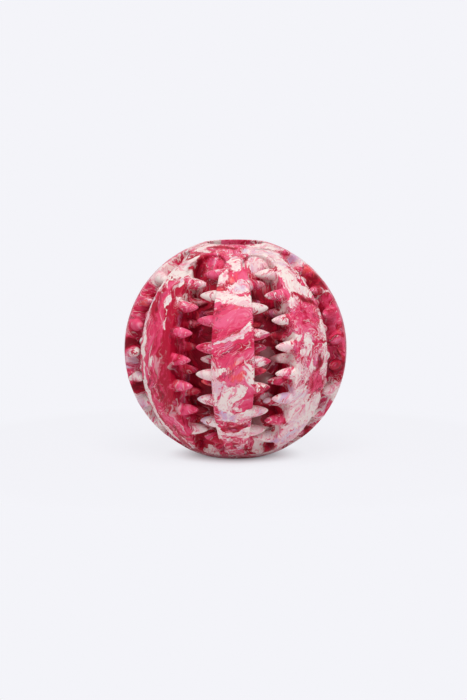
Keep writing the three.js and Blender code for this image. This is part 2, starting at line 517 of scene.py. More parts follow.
# The far left rib, of which the photograph shows the right side
FAR_LEFT_RIB = (
    Patch(Tone.CREAM, up=27, right=7.5, length=9, width=9, tilt=53),
    Patch(Tone.CORAL, up=17, right=9, length=5.5, width=2.8, tilt=9),
    Patch(Tone.RASPBERRY, up=9, right=10, length=11, width=8.5, tilt=6, inward=2),
    Patch(Tone.CRIMSON, up=3, right=7, length=7, width=3, tilt=7),
    Patch(Tone.LILAC, up=-3.5, right=7, length=8, width=5, tilt=7),
    Patch(Tone.CREAM, up=-8.5, right=9, length=9.5, width=4.5, tilt=8, inward=2),
    Patch(Tone.CRIMSON, up=-12, right=6.5, length=9.5, width=4.5, tilt=6),
    Patch(Tone.SHELL, up=-17, right=6, length=9.5, width=5, tilt=-6),
)

# The rib on the right of the first
RIGHT_RIB = (
    Patch(Tone.ROSY, up=3, right=-5, length=58, width=15, tilt=86),
    Patch(Tone.CREAM, up=28, right=-1.5, length=10, width=6, tilt=-80),
    Patch(Tone.CREAM, up=23, right=0, length=7, width=5, tilt=-25),
    Patch(Tone.CRIMSON, up=18.5, right=1.5, length=9.5, width=2.5, tilt=-35),
    Patch(Tone.CREAM, up=18, right=-5, length=4.5, width=3, tilt=-70),
    Patch(Tone.RASPBERRY, up=12.5, right=-1, length=8.5, width=9, tilt=-80),
    Patch(Tone.CREAM, up=6, right=-2, length=5, width=2.5, tilt=-70),
    Patch(Tone.CREAM, up=7.5, right=-5.5, length=4, width=2, tilt=40),
    Patch(Tone.CREAM, up=3, right=-3.5, length=5, width=1.8, tilt=30),
    Patch(Tone.CRIMSON, up=-1.5, right=2, length=7, width=2.5, tilt=60),
    Patch(Tone.CREAM, up=-4, right=-6.5, length=6, width=3.5, tilt=82),
    Patch(Tone.RASPBERRY, up=-8.5, right=1.5, length=8, width=8.5, tilt=88),
    Patch(Tone.SHELL, up=-11, right=-4.5, length=8, width=6.5, tilt=40),
    Patch(Tone.CREAM, up=-20.5, right=0, length=17, width=15, tilt=82),
    Patch(Tone.SHELL, up=-26, right=0.5, length=9, width=6, tilt=86),
    Patch(Tone.SHELL, up=-31, right=0.5, length=8, width=8, tilt=66),
    Patch(Tone.POWDER, up=9, right=5.5, length=7, width=1.2, tilt=-85),
)

# The far right rib, of which the photograph shows the left side
FAR_RIGHT_RIB = (
    Patch(Tone.RASPBERRY, up=9, right=-7.5, length=40, width=10, tilt=90, depth=16),
    Patch(Tone.LILAC, up=33.5, right=-2.5, length=6.5, width=5.5, tilt=-120, inward=2),
    Patch(Tone.SHELL, up=32.5, right=-3, length=4, width=5.5, tilt=-105),
    Patch(Tone.CORAL, up=28.5, right=-5, length=5, width=4, tilt=-95),
    Patch(Tone.CRIMSON, up=24, right=-5.5, length=7, width=6.5, tilt=-90),
    Patch(Tone.POWDER, up=20, right=-5.5, length=6, width=1, tilt=-35),
    Patch(Tone.CRIMSON, up=-5, right=-8, length=8, width=7, tilt=80),
    Patch(Tone.CREAM, up=-13, right=-8, length=6, width=7, tilt=90),
    Patch(Tone.ROSY, up=-19.5, right=-6, length=7, width=7, tilt=90),
    Patch(Tone.CRIMSON, up=-30, right=-4, length=7, width=3, tilt=60),
)

# The groove between the first rib and the one on its right, with its round upper end
RIGHT_GROOVE = (
    # The first three are cream in painted shade
    Patch(Tone.SHADED_CREAM, up=2, right=0.5, length=5, width=4, inward=10),
    Patch(Tone.SHADED_CREAM, up=-10, right=0, length=4.5, width=5, inward=10),
    Patch(Tone.SHADED_CREAM, up=-26, right=-1, length=3, width=6, inward=6),
    Patch(Tone.CRIMSON, up=8.5, right=3, length=4, width=2.5, inward=6),
    Patch(Tone.CREAM, up=0, right=6, length=5, width=4, inward=4),
    Patch(Tone.CREAM, up=7, right=6.8, length=4, width=3.5, inward=3),
    Patch(Tone.SHELL, up=-17.5, right=1, length=5, width=3, inward=8),
    Patch(Tone.CRIMSON, up=-22, right=5.5, length=4, width=4, inward=4),
    Patch(Tone.SHELL, up=-19, right=5, length=4, width=3, inward=6),
    Patch(Tone.CREAM, up=-37, right=3, length=7.5, width=8, tilt=16, inward=2),
    Patch(Tone.LILAC, up=-30.5, right=3, length=7.5, width=3, tilt=-20),
    Patch(Tone.CRIMSON, up=-35.5, right=4.7, length=3, width=5.5, tilt=-11, inward=0),
    Patch(Tone.SHELL, up=36, right=2.5, length=10, width=13.5, inward=2),
    Patch(Tone.CREAM, up=32, right=1.3, length=4, width=4.5, tilt=70),
    Patch(Tone.CRIMSON, up=34, right=5, length=6, width=2, tilt=-100),
    Patch(Tone.POWDER, up=36, right=4.3, length=9, width=1.8, tilt=-80, inward=0),
    Patch(Tone.POWDER, up=33.5, right=8, length=13, width=2, tilt=-96, inward=0),
)

# The groove between the first rib and the one on its left, which is darker; the darkening value of its
# crimson and wine patches also paints shade there
LEFT_GROOVE = (
    Patch(Tone.WINE, up=3, right=-7, length=46, width=4.5, tilt=94, inward=4),
    Patch(Tone.CREAM, up=-27.5, right=-1, length=4.5, width=3.5, tilt=-9, inward=2),
    Patch(Tone.CRIMSON, up=-35.5, right=-3, length=5.5, width=7, tilt=-41, inward=3),
    Patch(Tone.CREAM, up=-38.5, right=-0.5, length=7, width=3.5, tilt=-48),
    Patch(Tone.CRIMSON, up=34, right=-5.3, length=7.5, width=10.5, inward=3),
    Patch(Tone.ROSY, up=38, right=0.7, length=6, width=6, tilt=22),
    Patch(Tone.RASPBERRY, up=36.5, right=2.9, length=4.5, width=6.5, inward=2),
    Patch(Tone.POWDER, up=33.5, right=-6.8, length=9, width=2, tilt=86, inward=0),
    Patch(Tone.CREAM, up=19, right=-5, length=4.5, width=4, tilt=-50, inward=2),
)

# The upper collar, and what shows over it of the far side of the mouth
TOP_COLLAR = (
    Patch(Tone.ROSY, up=41, right=0, length=28, width=8),
    Patch(Tone.CREAM, up=41, right=-12, length=4, width=2.5, tilt=42),
    Patch(Tone.CREAM, up=40, right=-4, length=9, width=2, tilt=-30),
    Patch(Tone.SHELL, up=40, right=7.5, length=8, width=2, tilt=-17),
    Patch(Tone.CRIMSON, up=43, right=-4, length=8.5, width=1.7),
    Patch(Tone.CRIMSON, up=41.5, right=9.5, length=7, width=1.7, tilt=-18),
    Patch(Tone.RASPBERRY, up=46, right=28, length=20, width=2, depth=5),
)


def upside_down(patches: tuple[Patch, ...]) -> tuple[Patch, ...]:
    """The same patches, upside down."""
    return tuple(replace(patch, up=-patch.up, tilt=-patch.tilt) for patch in patches)


# Each upright line's azimuth, counted in sectors from the first rib. Later patches lie over earlier ones.
# The photograph doesn't show the three ribs at the back, which take other ribs' patches.
PATCHED_LINES: tuple[tuple[float, tuple[Patch, ...]], ...] = (
    (3, upside_down(FRONT_RIB)),
    (4, upside_down(LEFT_RIB)),
    (-3, upside_down(RIGHT_RIB)),
    (0, FRONT_RIB),
    (-1, LEFT_RIB),
    (-2, FAR_LEFT_RIB),
    (1, RIGHT_RIB),
    (2, FAR_RIGHT_RIB),
    (0, TOP_COLLAR),
    (0.5, RIGHT_GROOVE),
    (-0.5, LEFT_GROOVE),
)

# Teeth from the top down, by how many sectors their rib is from the first; None leaves one free
TOOTH_TONES: tuple[tuple[int, ToothRow, tuple[Tone | None, ...]], ...] = (
    (0, OUTER_LEFT, (Tone.ROSE, Tone.CREAM, Tone.ROSE, Tone.RASPBERRY, Tone.CREAM, Tone.SHELL, Tone.SHELL)),
    (0, INNER_LEFT, (None, Tone.CRIMSON, Tone.SHELL, Tone.CORAL)),
    (0, OUTER_RIGHT, (Tone.ROSY, Tone.CREAM, *[Tone.ROSY] * 3, Tone.SHELL, Tone.CREAM)),
    (0, INNER_RIGHT, (None, Tone.CRIMSON, Tone.ROSY, Tone.CORAL, Tone.WINE)),
    (-1, OUTER_RIGHT, (Tone.ROSY, *[Tone.ROSE] * 5, Tone.CREAM)),
    (1, OUTER_LEFT, (Tone.CREAM, Tone.SHELL, *[Tone.CREAM] * 3, Tone.SHELL, Tone.ROSY, Tone.CREAM)),
    (1, INNER_LEFT, (None, None, None, Tone.ROSY)),
)


@dataclass(frozen=True)
class ToneMap:
    """Where the tones lead the marbling, with painted shade down in the grooves; elsewhere it is left free.
    """

    shade_radius: float = 32.0  # painted shade darkens the rubber down in the grooves, from here
    shade_fade: float = 6.5
    ragged_waves: float = 0.3  # in a millimetre, of the noise that makes the blobs' outlines ragged
    ragged_span: float = 1.2
    ragged_octaves: int = 3
    ragged_seed: int = 3  # without one, that noise is different in each run
    tooth_extents: tuple[float, float, float] = (8.0, 4.2, 4.2)

    def tooth_blobs(self, sectors: int, row: ToothRow, tones: tuple[Tone | None, ...]) -> list[Blob]:
        """Colours the teeth of one row.

        Args:
            sectors: How many sectors the teeth's rib is from the first.
            row: The row.
            tones: The teeth's tones, from the top down.

        Returns:
            A blob round each tooth that has a tone.
        """
        turn = turned(sectors * BALL.sector)
        upright = np.array([0.0, 0.0, 1.0])
        blobs = []
        for tooth, tone in zip(row.teeth(), tones, strict=False):
            if tone is not None:
                axes = np.stack([tooth.direction, np.cross(tooth.direction, upright), upright])
                middle = tooth.middle + tooth.direction
                blobs.append(Blob(tone, turn @ middle, axes @ turn.T, self.tooth_extents))
        return blobs

    def blobs(self) -> list[Blob]:
        """Places all patches and colours the teeth.

        Returns:
            The blobs; a later one lies over an earlier one.
        """
        found = [p.blob(sectors * BALL.sector) for sectors, patches in PATCHED_LINES for p in patches]
        for sectors, row, tones in TOOTH_TONES:
            found += self.tooth_blobs(sectors, row, tones)
        return found

    def at(self, points: Array) -> dict[str, Array]:
        """How far the tones and the painted groove shade lead the marbling at places on the ball.

        Args:
            points: Places in millimetres from the ball's centre.

        Returns:
            For each tone name, one value for each place; 0 leaves the marbling free.
        """
        # Painted shade: the farther a place lies down in a groove, the darker it is painted
        inside = (self.shade_radius - np.linalg.norm(points, axis=1)) / self.shade_fade
        mixed = np.clip(inside, 0, 1)[:, None] * np.array(Tone.PAINTED_GROOVE_SHADE.value)
        places = (points * self.ragged_waves).tolist()
        noise.seed_set(self.ragged_seed)
        throw = np.array([noise.turbulence_vector(place, self.ragged_octaves, False) for place in places])
        moved = points + self.ragged_span * throw
        for blob in self.blobs():
            cover = blob.cover(moved)[:, None]
            mixed = mixed * (1 - cover) + np.array(blob.tone.value) * cover
        return {name: mixed[:, i].copy() for i, name in enumerate(TONE_NAMES)}


# Meshes


def new_object(name: str, data: bpy.types.ID) -> bpy.types.Object:
    """Puts a new object in the scene.

    Args:
        name: Its name.
        data: Its mesh, light or camera.

    Returns:
        The object.
    """
    made = bpy.data.objects.new(name, data)
    bpy.context.scene.collection.objects.link(made)
    return made


def slopes(solid: Solid, points: Array, step: float = 0.01) -> Array:
    """Unit normals of a solid's distances.

    Args:
        solid: The solid's distance function.
        points: Places to measure at.
        step: How far to each side the slope is taken.

    Returns:
        One unit vector for each place.
    """
    found = np.empty_like(points)
    for axis in range(3):
        shift = np.zeros(3)
        shift[axis] = step
        found[:, axis] = solid(points + shift) - solid(points - shift)
    return found / np.maximum(np.linalg.norm(found, axis=1, keepdims=True), TINY)


@dataclass(frozen=True)
class Skinner:
    """Turns a solid given as distances into quads, with its sharp edges kept sharp."""

    solid: Solid
    low: Array
    high: Array
    cell: float
    margin: float = 1.5  # cells of space round the box
    refinements: int = 3
    flatness: float = 0.01  # a higher number keeps corners nearer to the middle of their cell
    reach: float = 0.6  # how many cells a corner may move from there

    def crossings(self) -> tuple[Array, Array, Array]:
        """Where the surface crosses the grid.

        Returns:
            The places, the surface's normals there, and the four cells round each, in order.
        """
        start = self.low - self.margin * self.cell
        counts = np.ceil((self.high - self.low) / self.cell + 2 * self.margin).astype(int) + 1
        axes = [start[i] + self.cell * np.arange(counts[i]) for i in range(3)]
        grid = np.stack(np.meshgrid(*axes, indexing="ij"), axis=-1)
        values = self.solid(grid.reshape(-1, 3)).reshape(counts)
        places, cells = [], []
        for axis in range(3):
            index = np.argwhere(np.diff(values < 0, axis=axis))
            step = np.eye(3, dtype=int)[axis]
            before = values[tuple(index.T)]
            after = values[tuple((index + step).T)]
            places.append(self.cross(grid[tuple(index.T)], step * self.cell, before, after))
            u, v = np.eye(3, dtype=int)[[(axis + 1) % 3, (axis + 2) % 3]]
            ring = np.stack([index - u - v, index - v, index, index - u], axis=1)
            ring = np.where((before < 0)[:, None, None], ring, ring[:, ::-1])
            cells.append(np.ravel_multi_index(tuple(np.moveaxis(ring, -1, 0)), counts))
        points = np.concatenate(places)
        return points, slopes(self.solid, points), np.concatenate(cells)

    def cross(self, start: Array, step: Array, before: Array, after: Array) -> Array:
        """Finds the surface on grid edges.

        Args:
            start: The first end of each edge.
            step: From the first end to the second.
            before: Distances at the first ends.
            after: Distances at the second ends.

        Returns:
            The place of the surface on each edge.
        """
        near, far = np.zeros(len(start)), np.ones(len(start))
        for _ in range(self.refinements):
            share = near + (far - near) * before / (before - after)
            here = self.solid(start + share[:, None] * step)
            same = (here < 0) == (before < 0)
            near, before = np.where(same, share, near), np.where(same, here, before)
            far, after = np.where(same, far, share), np.where(same, after, here)
        share = near + (far - near) * before / (before - after)
        return start + share[:, None] * step

    def skin(self) -> tuple[Array, Array]:
        """Meshes the solid.

        Returns:
            The corners and the quads, with their faces pointing out.
        """
        points, normals, cells = self.crossings()
        keys, corners = np.unique(cells, return_inverse=True)
        corners = corners.reshape(cells.shape)
        total = len(keys)
        at = corners.ravel()

        def gather(values: Array) -> Array:
            """Sums a value of each crossing over the cells round it."""
            return np.bincount(at, np.repeat(values, 4), total)

        count = gather(np.ones(len(points)))
        middle = np.stack([gather(points[:, i]) / count for i in range(3)], axis=1)
        pull = np.empty((total, 3, 3))
        for i in range(3):
            for j in range(3):
                pull[:, i, j] = gather(normals[:, i] * normals[:, j])
        distance = (normals * points).sum(1)
        wanted = np.stack([gather(normals[:, i] * distance) for i in range(3)], axis=1)
        wanted -= np.einsum("nij,nj->ni", pull, middle)
        move = np.linalg.solve(pull + self.flatness * np.eye(3), wanted[..., None])[..., 0]
        farthest = self.reach * self.cell
        return middle + np.clip(move, -farthest, farthest), corners


class Template:
    """A meshed solid in millimetres, with the normal of each corner of each face."""

    sharp_angle: float = 35.0  # in degrees; a face that leans away by more keeps its own normal
    merging: float = 0.06  # the share of a cell within which corners become one

    def __init__(self, solid: Solid, box: tuple[Array, Array], cell: float) -> None:
        """Meshes a solid.

        Args:
            solid: The solid's distance function.
            box: Corners of the space that it takes.
            cell: The grid's step in millimetres.
        """
        points, quads = Skinner(solid, box[0], box[1], cell).skin()
        self.mesh = bpy.data.meshes.new("template")
        self.mesh.from_pydata(points.tolist(), [], quads.tolist())
        self.clean(cell * self.merging)
        self.points = self.vectors(self.mesh.vertices, "co")
        self.normals = self.corner_normals(solid)

    def clean(self, least: float) -> None:
        """Merges corners that lie close together, and drops empty faces.

        Args:
            least: The length under which corners become one, in millimetres.
        """
        work = bmesh.new()
        work.from_mesh(self.mesh)
        bmesh.ops.remove_doubles(work, verts=work.verts, dist=least)
        bmesh.ops.dissolve_degenerate(work, edges=work.edges, dist=least / 2)
        work.to_mesh(self.mesh)
        work.free()

    @staticmethod
    def vectors(collection: bpy.types.bpy_prop_collection, name: str) -> Array:
        """Reads a vector of every item of a mesh.

        Args:
            collection: The mesh's items.
            name: The vector's name.

        Returns:
            One row for each item.
        """
        found = np.empty(len(collection) * 3)
        collection.foreach_get(name, found)
        return found.reshape(-1, 3)

    def corner_normals(self, solid: Solid) -> Array:
        """Normals of the face corners: smooth over round places, a face's own beside a sharp edge.

        Args:
            solid: The solid's distance function.

        Returns:
            One unit vector for each face corner.
        """
        smooth = slopes(solid, self.points)
        flat = slopes(solid, self.vectors(self.mesh.polygons, "center"))
        owner = np.repeat(np.arange(len(flat)), [p.loop_total for p in self.mesh.polygons])
        vertex = np.empty(len(self.mesh.loops), dtype=int)
        self.mesh.loops.foreach_get("vertex_index", vertex)
        agrees = (smooth[vertex] * flat[owner]).sum(1) > math.cos(math.radians(self.sharp_angle))
        return np.where(agrees[:, None], smooth[vertex], flat[owner])

    def placed(self, name: str, turn: Array) -> bpy.types.Object:
        """Makes a piece of the ball from the template.

        Args:
            name: The new object's name.
            turn: A 3 by 3 matrix that turns the template to its place round the ball's centre.

        Returns:
            The object, with its place in its mesh.
        """
        mesh = self.mesh.copy()
        mesh.name = name
        at_home = self.points @ turn.T
        standing = (at_home + [0, 0, BALL.land_height]) * MM
        mesh.vertices.foreach_set("co", standing.ravel())
        mesh.polygons.foreach_set("use_smooth", [True] * len(mesh.polygons))
        mesh.update()
        mesh.normals_split_custom_set(self.normals @ turn.T)
        for tone, values in ToneMap().at(at_home).items():
            mesh.attributes.new(tone, "FLOAT", "POINT").data.foreach_set("value", values)
        return new_object(name, mesh)


# Finishes


# The standard curve of screen colours: a straight foot, and a power of the shifted value over it
SRGB_FOOT = 0.04045
SRGB_SLOPE = 12.92
SRGB_SHIFT = 0.055
SRGB_POWER = 2.4


def srgb(*channels: int) -> tuple[float, ...]:
    """Turns a colour as it looks on a screen into the shader's linear values.

    Args:
        *channels: Red, green and blue, from 0 to 255.

    Returns:
        Linear red, green and blue, and full opacity.
    """
    shares = [channel / 255 for channel in channels]
    feet = [share / SRGB_SLOPE for share in shares]
    curved = [((share + SRGB_SHIFT) / (1 + SRGB_SHIFT)) ** SRGB_POWER for share in shares]
    parts = zip(shares, feet, curved, strict=True)
    linear = [foot if share <= SRGB_FOOT else curve for share, foot, curve in parts]
    return (*linear, 1.0)


class Dye(Enum):
    """The colours of the rubber that the marbling is mixed from, with a painted shade colour for the cream.
    """

    CREAM = srgb(251, 234, 228)
    SHELL = srgb(244, 192, 202)
    LILAC = srgb(212, 178, 212)
    POWDER = srgb(250, 244, 244)
    # Cream in painted shade
    CREAM_SHADE = srgb(150, 92, 96)
    ORCHID = srgb(214, 120, 168)
    ROSE = srgb(244, 108, 148)
    RASPBERRY = srgb(230, 58, 102)
    CRIMSON = srgb(186, 14, 52)
    # Partly the rubber's darkest red, partly painted shade in the grooves
    MAROON = srgb(108, 2, 22)
    CORAL = srgb(248, 84, 92)


@dataclass(frozen=True)
class Grain:
    """A noise: its waves in a millimetre, its octaves, and how strong the finer ones are."""

    waves: float
    octaves: float = 2.0
    roughness: float = 0.5


@dataclass(frozen=True)
class Ramp:
    """A smooth climb from 0 to a top value as a number goes from start to end."""

    start: float
    end: float
    top: float = 1.0


@dataclass(frozen=True)
class Throw:
    """How kneading moves the rubber: by a noise, within a span of so many millimetres."""

    grain: Grain
    span: float


class Graph:
    """Adds nodes to a shader tree and links their sockets."""

    def __init__(self, tree: bpy.types.NodeTree) -> None:
        """Takes the tree to add to.

        Args:
            tree: A material's or a group's node tree.
        """
        self.tree = tree

    @classmethod
    def of(cls, owner: bpy.types.Material | bpy.types.World) -> "Graph":
        """Starts an empty tree.

        Args:
            owner: What the tree belongs to.

        Returns:
            The graph that adds to the tree.
        """
        owner.use_nodes = True
        owner.node_tree.nodes.clear()
        return cls(owner.node_tree)

    def put(self, value: object, socket: Socket) -> None:
        """Feeds a socket.

        Args:
            value: An output to link, a number or a dye; None leaves the socket alone.
            socket: The input to feed.
        """
        if isinstance(value, bpy.types.NodeSocket):
            self.tree.links.new(value, socket)
        elif value is not None:
            socket.default_value = value.value if isinstance(value, Dye) else value

    def add(self, kind: str, *inputs: object, **settings: object) -> bpy.types.Node:
        """Adds a node.

        Args:
            kind: The node's type name.
            *inputs: What goes into each input in turn.
            **settings: Properties of the node.

        Returns:
            The node.
        """
        node = self.tree.nodes.new(kind)
        for name, value in settings.items():
            setattr(node, name, value)
        for socket, value in zip(node.inputs, inputs, strict=False):
            self.put(value, socket)
        return node

    def math(self, operation: str, *inputs: object) -> Socket:
        """A value worked out from others."""
        return self.add("ShaderNodeMath", *inputs, operation=operation).outputs[0]

    def times(self, *factors: object) -> Socket:
        """Multiplies values.

        Args:
            *factors: Two or more values.

        Returns:
            Their product.
        """
        product = factors[0]
        for factor in factors[1:]:
            product = self.math("MULTIPLY", product, factor)
        return product

    def plus(self, value: object, gain: float, base: object) -> Socket:
        """A value times a gain, added to a base."""
        return self.math("MULTIPLY_ADD", value, gain, base)

    def less(self, value: object, taken: object) -> Socket:
        """A value less another."""
        return self.math("SUBTRACT", value, taken)

    def vector(self, operation: str, *inputs: object) -> Socket:
        """A vector, or the length or product of vectors, worked out from others.

        Args:
            operation: The operation's name.
            *inputs: What goes into each input that the operation uses.

        Returns:
            The output that the operation uses.
        """
        node = self.add("ShaderNodeVectorMath", operation=operation)
        used = [socket for socket in node.inputs if socket.enabled]
        for socket, value in zip(used, inputs, strict=False):
            self.put(value, socket)
        return next(socket for socket in node.outputs if socket.enabled)

    def noise(self, place: Socket, grain: Grain) -> tuple[Socket, Socket]:
        """Reads noise at a place.

        Args:
            place: Where it is read.
            grain: The noise.

        Returns:
            Its value, and a colour that serves as another value.
        """
        node = self.add("ShaderNodeTexNoise", noise_dimensions="3D")
        self.put(place, node.inputs["Vector"])
        self.put(grain.waves, node.inputs["Scale"])
        self.put(grain.octaves, node.inputs["Detail"])
        self.put(grain.roughness, node.inputs["Roughness"])
        return node.outputs[0], node.outputs[1]

    def climb(self, value: object, ramp: Ramp) -> Socket:
        """Takes a value up a ramp.

        Args:
            value: The value.
            ramp: The ramp.

        Returns:
            How high the value is on the ramp.
        """
        kind, way = "ShaderNodeMapRange", "SMOOTHSTEP"
        step = self.add(kind, value, ramp.start, ramp.end, 0.0, 1.0, interpolation_type=way).outputs[0]
        return step if ramp.top == 1.0 else self.times(step, ramp.top)

    def mix(self, share: object, first: object, second: object) -> Socket:
        """Mixes two colours.

        Args:
            share: How much of the second colour there is.
            first: The first colour.
            second: The second colour.

        Returns:
            The mixed colour.
        """
        node = self.add("ShaderNodeMix", share, data_type="RGBA")
        colours = [socket for socket in node.inputs if socket.type == "RGBA"]
        self.put(first, colours[0])
        self.put(second, colours[1])
        return next(socket for socket in node.outputs if socket.type == "RGBA")


class Place(Enum):
    """How a place on the ball is moved before noise is read there."""

    FLOWING = "kneaded and drawn out along the flow"
    STREAKED = "drawn out three times as often"
    TORN = "flowing, with small tears"


@dataclass(frozen=True)
class Tint:
    """A dye that takes over where a noise, lifted by a tone's value, is high."""

    dye: Dye
    place: Place
    grain: Grain
    ramp: Ramp
    tone: str
    lift: float
    by_colour: bool = False  # True reads the noise's colour, which differs from its value


@dataclass
class Marbling:
    """The shader group that marbles the rubber: one compound, kneaded and stretched in the mould.

    Where the sum of its noises is over an edge, the rubber is pale, and else it is red; its darkening input
    also paints shade into the grooves.
    """

    name: str = "marbled_rubber"
    kneading: tuple[Throw, ...] = (Throw(Grain(0.05, 1.0), 20.0), Throw(Grain(0.2), 6.0))
    tearing: Throw = Throw(Grain(1.1), 1.2)
    body: Grain = Grain(0.1)  # large shapes
    rags: Grain = Grain(0.5, 4.0, 0.62)  # their ragged outlines
    comb: Grain = Grain(0.9, 4.0, 0.62)  # fine streaks along the flow
    busy: tuple[float, float] = (0.25, 0.45)  # how much rags and comb count in a blob, and more when free
    pale_lift: float = 0.25  # how far a tone's paleness lifts the sum
    pale_edge: Ramp = Ramp(0.536, 0.55)
    red_grain: Grain = Grain(0.3, 5.0, 0.62)  # from crimson over raspberry to rose
    deep_and_shade_drop: float = -0.25  # how far a tone's darkening value, painted groove shade among it, lowers it
    red_ramp: Ramp = Ramp(0.38, 0.5)
    rose_ramp: Ramp = Ramp(0.48, 0.64, 0.8)
    red_tints: tuple[Tint, ...] = (
        # Maroon: partly dark streaks of the rubber, partly painted shade where the darkening value is high
        Tint(Dye.MAROON, Place.FLOWING, Grain(0.35, 4.0, 0.6), Ramp(0.58, 0.72, 0.75), "Deep_and_shade", 0.16),
        Tint(Dye.CORAL, Place.TORN, Grain(0.3, 4.0, 0.6), Ramp(0.6, 0.76, 0.95), "Coral", 0.24),
        Tint(Dye.ORCHID, Place.TORN, Grain(0.3, 4.0, 0.6), Ramp(0.54, 0.72, 0.7), "Lilac", 0.1, True),
    )
    pale_tints: tuple[Tint, ...] = (
        Tint(Dye.SHELL, Place.TORN, Grain(0.3, 4.0, 0.65), Ramp(0.48, 0.64, 0.85), "Lilac", 0.1),
        Tint(Dye.LILAC, Place.TORN, Grain(0.22, 4.0, 0.65), Ramp(0.54, 0.76, 0.95), "Lilac", 0.2, True),
    )
    hair: tuple[Grain, float] = (Grain(0.17), 0.024)  # thin lines in the red, and their half width
    hair_core: float = 0.3  # the share of that width where a line is full
    hair_shown: tuple[float, float] = (0.3, 0.7)  # how clear in a blob, and more when free
    comb_white: Ramp = Ramp(0.12, 0.2, 0.55)  # where streaks turn white in the red
    comb_free: float = 0.04  # how much more of them there is when free
    vein: tuple[Grain, float] = (Grain(0.2), 0.02)  # the same in the pale
    comb_rose: Ramp = Ramp(0.09, 0.15)  # where streaks turn rosy in the pale
    vein_top: float = 0.75
    thread_gaps: tuple[float, Ramp] = (1.7, Ramp(0.5, 0.6))  # how much finer gaps are, and where lines show
    turns: tuple[float, float] = (14.0, 2.4)  # contour lines of the body noise, and how ragged they are
    turns_shown: tuple[Grain, Ramp] = (Grain(0.3), Ramp(0.44, 0.56))  # where they show
    turns_free: tuple[float, float] = (0.12, 0.8)  # how clear in a blob, and more when free
    white_line: Ramp = Ramp(0.4, 0.46)  # how far from halfway a white line starts
    red_line: Ramp = Ramp(0.05, 0.12)  # how far from halfway a red line ends
    red_line_top: float = 0.9
    fleck: tuple[Grain, Ramp] = (Grain(0.9, 3.0, 0.6), Ramp(0.62, 0.65, 0.85))  # in the pale
    rim: Ramp = Ramp(0.46, 0.53, 0.5)  # the red next to the pale, darker or lighter
    rim_choice: tuple[Grain, Ramp] = (Grain(0.25), Ramp(0.45, 0.55))  # where it is lighter
    pores: Grain = Grain(3.2, 3.0, 0.6)  # the fine grain of the surface
    roughness: tuple[float, float, float] = (0.4, 0.06, 0.2)  # of the red, and more by paleness and pores
    relief: tuple[float, float, float] = (0.25, 0.5, 0.5)  # by paleness, pores and comb

    def __post_init__(self) -> None:
        """Builds the group with its named inputs and outputs."""
        self.tree = bpy.data.node_groups.new(self.name, "ShaderNodeTree")
        face = self.tree.interface
        for name in ("Place", "Flow"):
            face.new_socket(name, in_out="INPUT", socket_type="NodeSocketVector")
        for name in ("Fineness", "Stretch", "Pale", "Lilac", "Coral", "Deep_and_shade", "Paleness", "Depth"):
            face.new_socket(name, in_out="INPUT", socket_type="NodeSocketFloat")
        face.new_socket("Colour", in_out="OUTPUT", socket_type="NodeSocketColor")
        face.new_socket("Roughness", in_out="OUTPUT", socket_type="NodeSocketFloat")
        face.new_socket("Relief", in_out="OUTPUT", socket_type="NodeSocketFloat")
        self.graph = Graph(self.tree)
        self.ask = self.tree.nodes.new("NodeGroupInput").outputs
        self.connect()

    def moved(self, place: Socket, throw: Throw) -> Socket:
        """Moves places about by noise, as kneading does.

        Args:
            place: The places to move.
            throw: How they move.

        Returns:
            The moved places.
        """
        g = self.graph
        away = g.vector("SUBTRACT", g.noise(place, throw.grain)[1], (NOISE_MIDDLE,) * 3)
        return g.vector("ADD", place, g.vector("SCALE", away, throw.span))

    def drawn_out(self, place: Socket) -> Socket:
        """Stretches what follows along the flow.

        Args:
            place: The places to stretch.

        Returns:
            The places, drawn together along the flow.
        """
        g = self.graph
        along = g.vector("DOT_PRODUCT", place, self.ask["Flow"])
        kept = g.math("DIVIDE", 1.0, self.ask["Stretch"])
        back = g.times(along, g.less(1.0, kept))
        return g.vector("SUBTRACT", place, g.vector("SCALE", self.ask["Flow"], back))

    def places(self) -> dict[Place, Socket]:
        """Kneads, stretches and tears the rubber.

        Returns:
            The ways that a place is moved.
        """
        place = self.graph.vector("SCALE", self.ask["Place"], self.ask["Fineness"])
        for throw in self.kneading:
            place = self.moved(place, throw)
        flowing = self.drawn_out(place)
        streaked = self.drawn_out(self.drawn_out(flowing))
        return {
            Place.FLOWING: flowing,
            Place.STREAKED: streaked,
            Place.TORN: self.moved(flowing, self.tearing),
        }

    def thread(self, place: Socket, grain: Grain, width: float) -> Socket:
        """Thin winding lines that come and go, where noise passes its middle value.

        Args:
            place: Where the noise is read.
            grain: The noise.
            width: How far from its middle value the lines reach.

        Returns:
            How much of a line there is.
        """
        g = self.graph
        gap_scale, gap_ramp = self.thread_gaps
        off = g.math("ABSOLUTE", g.less(g.noise(place, grain)[0], NOISE_MIDDLE))
        line = g.less(1.0, g.climb(off, Ramp(width * self.hair_core, width)))
        gaps = g.noise(place, Grain(grain.waves * gap_scale, 1.0))[1]
        return g.times(line, g.climb(gaps, gap_ramp))

    def tinted(self, colour: object, tints: tuple[Tint, ...]) -> Socket:
        """Lays tints over a colour.

        Args:
            colour: The colour to start from.
            tints: The tints, in order.

        Returns:
            The tinted colour.
        """
        g = self.graph
        for tint in tints:
            noise = g.noise(self.at[tint.place], tint.grain)[int(tint.by_colour)]
            share = g.climb(g.plus(self.ask[tint.tone], tint.lift, noise), tint.ramp)
            colour = g.mix(share, colour, tint.dye)
        return colour

